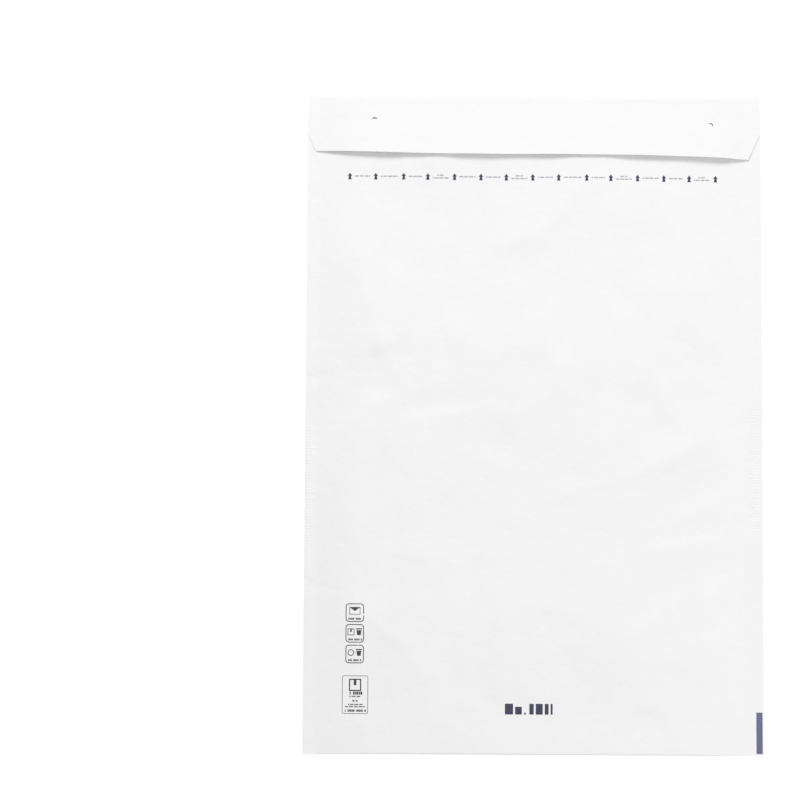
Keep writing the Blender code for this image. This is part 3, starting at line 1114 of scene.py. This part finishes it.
def copied_print(name, points, form, size, tree, finish, panel):
    """Print made of many copies of one form."""
    obj = copied(name, points, form, size, tree, finish)
    drape(obj, panel)
    dress(obj, finish, "white_paper")


def arrow_places():
    """Where the arrows stand, and the words between them: where they start, their length and lines."""
    x = ARROW_ROW_LEFT[0]
    arrows, words = [], []
    for number in range(ARROWS):
        arrows.append(x)
        length, lines = LEGENDS[number % len(LEGENDS)]
        words.append((x + LEGEND_LEAD, length, lines))
        x += LEGEND_LEAD + length + LEGEND_TRAIL
    return arrows, words[:-1]


def on_row(x):
    """Height up the panel of the opening line, which slants a little."""
    return ARROW_ROW_LEFT[1] - (x - ARROW_ROW_LEFT[0]) * math.tan(ARROW_ROW_SLANT)


def opening_line(tree, dark, grey, panel):
    """The row of arrows under the flap, with blocks for the small words between them."""
    arrows, words = arrow_places()
    turn = (0, 0, -ARROW_ROW_SLANT)
    points = [((x, on_row(x), 0), turn, (1, 1, 1)) for x in arrows]
    size = (ARROW_WIDTH, ARROW_HEIGHT, 1)
    copied_print("opening_arrows", points, arrow_form(), size, tree, dark, panel)
    letters = []
    for number, (left, length, lines) in enumerate(words):
        for line in range(lines):
            indent = length * LEGEND_INDENT if lines == 2 and line == 0 else 0
            y = LEGEND_LINES * ((lines - 1) / 2 - line)
            start = LEGEND_SHIFT * number + line
            row = letter_blocks(left + indent, y, length - 2 * indent, LEGEND_LETTER, start)
            letters += [((x, on_row(x) + up, 0), turn, (w, h, 1)) for x, up, w, h in row]
    copied_print("opening_words", letters, block_form(), (1, 1, 1), tree, grey, panel)


def envelope_picture(x, y):
    """A small picture of a closed envelope."""
    width, height = ENVELOPE_SIZE
    w, h = width / 2, height / 2
    flap = [(x - w, y + h), (x + w, y + h), (x, y - h * ENVELOPE_FLAP)]
    return stroke(rectangle(x, y, width, height), ENVELOPE_LINE) + [flap]


def bin_picture(x, y):
    """A small picture of a waste bin with its lid up."""
    up, width, height = BIN_LID
    return [[(x + across, y + rise) for across, rise in BIN_BODY], rectangle(x, y + up, width, height)]


def parcel_picture(x, y, size):
    """A small picture of a parcel, with its tape."""
    up, width, height = (size * share for share in PARCEL_TAPE)
    box = stroke(rectangle(x, y, size, size), size * PARCEL_LINE)
    return box + [rectangle(x, y + up, width, height)]


def mark_pictures(number, x, y):
    """What one of the square marks shows: an envelope, or a bin beside a parcel or a ring."""
    places = (LONE_PICTURE, LEFT_PICTURE, RIGHT_PICTURE)
    alone, left, right = ((x + across, y + up) for across, up in places)
    if number == 0:
        return envelope_picture(*alone)
    if number == 1:
        return bin_picture(*right) + parcel_picture(*left, PARCEL_SIZE)
    return bin_picture(*right) + stroke(circle(*left, RING_RADIUS), RING_LINE)


def square_marks():
    """Handling marks in rounded frames, each with a line of blocks under its pictures."""
    shapes, letters = [], []
    up, length, height = MARK_WORDS
    x = MARK_LEFT + MARK_SIZE / 2
    for number, top in enumerate(MARK_TOPS):
        y = top - MARK_SIZE / 2
        shapes += stroke(rounded(x, y, MARK_SIZE, MARK_SIZE, MARK_CORNER), MARK_LINE)
        shapes += mark_pictures(number, x, y)
        letters += letter_blocks(x - length / 2, y + up, length, height, number)
    return shapes, letters


def panel_mark():
    """The tall mark: a parcel with lines of blocks under it."""
    left, top, width, height = PANEL_MARK
    middle = left + width / 2
    parcel_drop, parcel_size = PANEL_PARCEL
    shapes = stroke(rounded(middle, top - height / 2, width, height, PANEL_CORNER), PANEL_LINE)
    shapes += parcel_picture(middle, top - parcel_drop, parcel_size)
    letters = []
    for drop, length, size in PANEL_WORDS:
        start = round(drop * PANEL_SHIFT)
        letters += letter_blocks(middle - length / 2, top - drop, length, size, start)
    return shapes, letters


def handling_marks(tree, black, panel):
    """All the generic handling marks and the blocks that stand for their words."""
    shapes, letters = square_marks()
    more_shapes, more_letters = panel_mark()
    flat_print("handling_marks", shapes + more_shapes, black, panel)
    upright = (0, 0, 0)
    points = [((x, y, 0), upright, (w, h, 1)) for x, y, w, h in letters + more_letters]
    copied_print("mark_words", points, block_form(), (1, 1, 1), tree, black, panel)


def size_mark():
    """Bold plain blocks, where the size would be printed."""
    left, foot = SIZE_MARK
    shapes = []
    for x, width, share in SIZE_BLOCKS:
        height = SIZE_HEIGHT * share
        shapes.append(rounded(left + x + width / 2, foot + height / 2, width, height, SIZE_CORNER))
    return shapes


def edge_bar():
    """The plain bar at the right edge."""
    left, right, bottom, top = EDGE_BAR
    return rectangle((left + right) / 2, (bottom + top) / 2, right - left, top - bottom)


def sky():
    """Soft light from all round, which the camera and mirrors see as white."""
    world = bpy.data.worlds.new("studio")
    world.use_nodes = True
    bpy.context.scene.world = world
    tree = world.node_tree
    ray = add_node(tree, "ShaderNodeLightPath").outputs
    seen = maths(tree, "MAXIMUM", ray["Is Camera Ray"], ray["Is Glossy Ray"])
    seen = maths(tree, "MAXIMUM", seen, ray["Is Transmission Ray"])
    background = tree.nodes["Background"]
    tree.links.new(spread(tree, seen, SKY_GLOW, 1.0, 0.0, 1.0), background.inputs["Strength"])
    background.inputs["Color"].default_value = (1, 1, 1, 1)


def floor():
    """A pale floor, lifted to white for the camera so that only the envelope's shadow shows."""
    material, tree, shader, place = new_material("pale_floor")
    shader.inputs["Base Color"].default_value = (FLOOR_SHADE, FLOOR_SHADE, FLOOR_SHADE, 1)
    shader.inputs["Roughness"].default_value = FLOOR_ROUGHNESS
    shader.inputs["Emission Color"].default_value = (1, 1, 1, 1)
    distance = add_node(tree, "ShaderNodeVectorMath", {"Vector": place}, operation="LENGTH")
    glow = spread(tree, distance.outputs["Value"], *FLOOR_GLOW, FLOOR_GLOW_FROM, FLOOR_GLOW_TO)
    ray = add_node(tree, "ShaderNodeLightPath")
    seen = maths(tree, "MULTIPLY", ray.outputs["Is Camera Ray"], glow)
    tree.links.new(seen, shader.inputs["Emission Strength"])
    bm = bmesh.new()
    bmesh.ops.create_grid(bm, x_segments=1, y_segments=1, size=FLOOR_HALF)
    obj = object_from(bm, "floor")
    obj.location.z = -FLOOR_DROP
    obj.data.materials.append(material)


def area_lamp(name, place, size, watts):
    """A square soft lamp that faces the envelope."""
    lamp = bpy.data.lights.new(name, "AREA")
    lamp.size = size
    lamp.energy = watts
    obj = new_object(name, lamp)
    obj.location = place
    obj.rotation_euler = (-Vector(place)).to_track_quat("-Z", "Y").to_euler()


def camera():
    """The camera, which looks down on the envelope from a little below its middle."""
    data = bpy.data.cameras.new("camera")
    data.lens = LENS
    data.sensor_width = SENSOR
    obj = new_object("camera", data)
    back = Vector((0, -math.sin(CAMERA_TILT), math.cos(CAMERA_TILT)))
    obj.location = Vector((*CAMERA_AIM, 0)) + back * CAMERA_DISTANCE
    obj.rotation_euler = (CAMERA_TILT, 0, CAMERA_ROLL)
    bpy.context.scene.camera = obj


def studio():
    """A pale floor, soft lamps and the camera."""
    bpy.context.scene.view_settings.view_transform = "Standard"
    floor()
    for name, (place, size, watts) in LAMPS.items():
        area_lamp(name, place, size, watts)
    sky()
    camera()


def main():
    """Makes every piece, then the studio round them."""
    paper = coated_paper()
    navy, black, faint, edge = (ink(name) for name in INKS)
    web = paper_web()
    panel = BVHTree.FromObject(web, bpy.context.evaluated_depsgraph_get())
    dress(web, paper, "white_paper", "paper_shell")
    copies = copies_tree()
    seam_ribs(copies, paper)
    bubble_lining(bubble_film())
    closure()
    opening_line(copies, navy, faint, panel)
    handling_marks(copies, black, panel)
    flat_print("size_blocks", size_mark(), navy, panel)
    flat_print("edge_bar", [edge_bar()], edge, panel)
    studio()


main()
